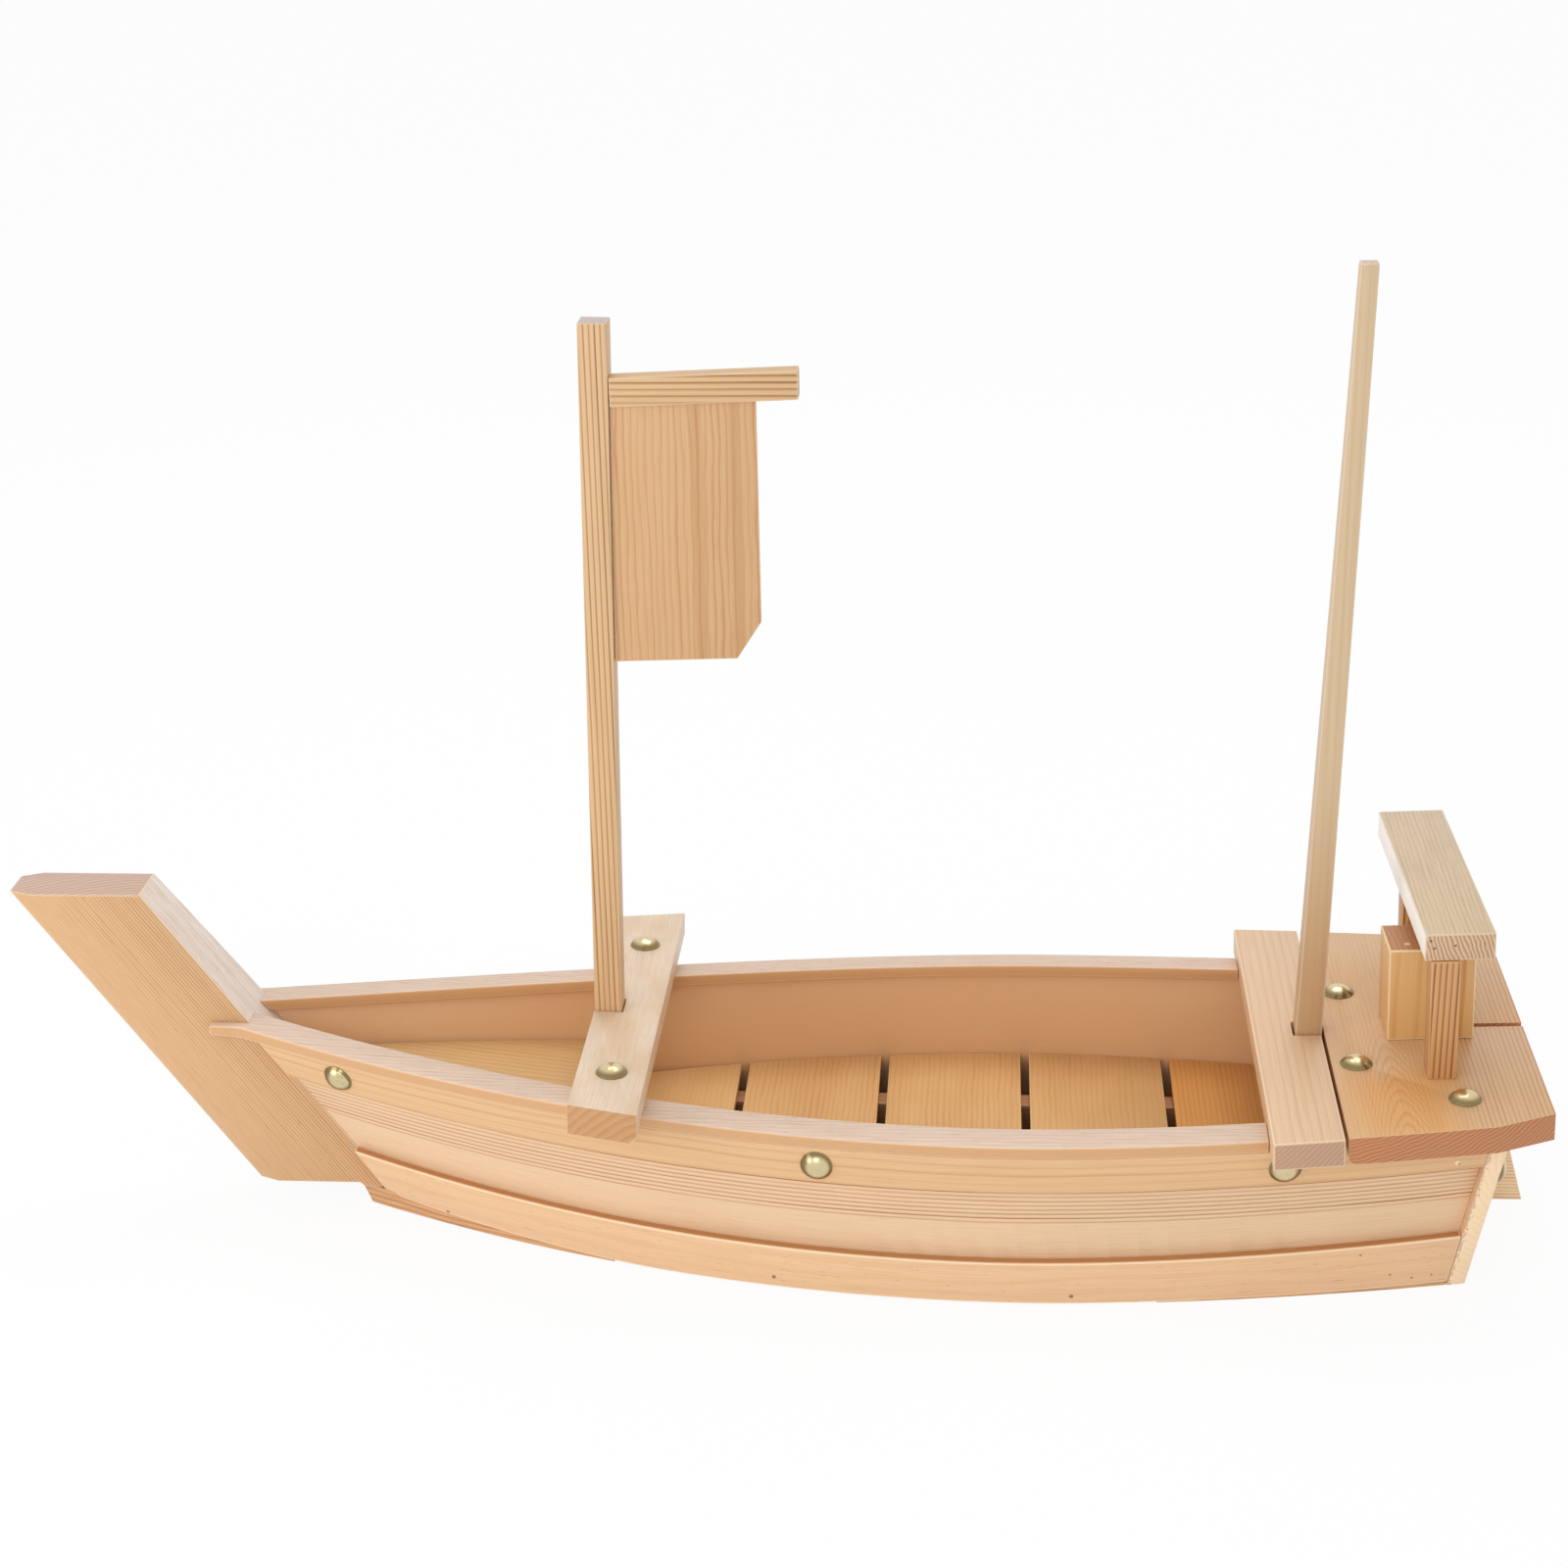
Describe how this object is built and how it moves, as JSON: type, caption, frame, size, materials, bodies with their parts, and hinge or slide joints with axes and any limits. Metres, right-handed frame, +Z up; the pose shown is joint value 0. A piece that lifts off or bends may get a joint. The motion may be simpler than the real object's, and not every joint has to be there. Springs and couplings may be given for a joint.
{
  "type": "wooden serving boat",
  "caption": "Planked wooden serving boat with a slatted floor, raked stem, thwarts, stern deck, mast with a blank board as sail, and a tapered pole.",
  "frame": {"origin": "middle of the overall length and width, on the underside of the bottom board", "axes": "+X along the hull from bow to stern, +Y to starboard, +Z up"},
  "size_m": [0.6014, 0.1846, 0.383],
  "materials": {
    "stem_wood": "planed, fine straight grain",
    "plank_wood": "planed, pale with brown grain lines",
    "strake_wood": "planed, orange tan",
    "rail_wood": "planed, pinkish white",
    "deck_wood": "planed, flame grain",
    "floor_wood": "planed, tan",
    "slat_wood": "planed, yellowish",
    "cabin_wood": "planed, honey",
    "mast_wood": "planed, striped grain",
    "sail_wood": "planed, wavy grain",
    "brass": "satin"
  },
  "bodies": {
    "root": {"stem": "stem_wood", "transom": "stem_wood", "rudder": "stem_wood", "bottom_board": "floor_wood", "bow_floor": "floor_wood", "bow_bulkhead": "floor_wood", "slat_runner_port": "floor_wood", "slat_runner_starboard": "floor_wood", "deck_batten": "floor_wood", "side_plank_port": "plank_wood", "side_plank_starboard": "plank_wood", "upper_strake_port": "strake_wood", "upper_strake_starboard": "strake_wood", "lower_strake_port": "strake_wood", "lower_strake_starboard": "strake_wood", "cap_rail_port": "rail_wood", "cap_rail_starboard": "rail_wood", "bow_thwart": "rail_wood", "stern_thwart": "rail_wood", "stern_deck": "deck_wood", "stand_beam": "deck_wood", "cabin_block": "cabin_wood", "stand_post_port": "mast_wood", "stand_post_starboard": "mast_wood", "main_mast": "mast_wood", "boom": "mast_wood", "rear_pole": "mast_wood", "sail_board": "sail_wood", "thwart_nails": "brass", "deck_nails": "brass", "transom_nails": "brass", "side_nails_port": "brass", "side_nails_starboard": "brass", "deck_slat_1": "slat_wood", "deck_slat_2": "slat_wood", "deck_slat_3": "slat_wood", "deck_slat_4": "slat_wood", "deck_slat_5": "slat_wood"}
  },
  "joints": []
}
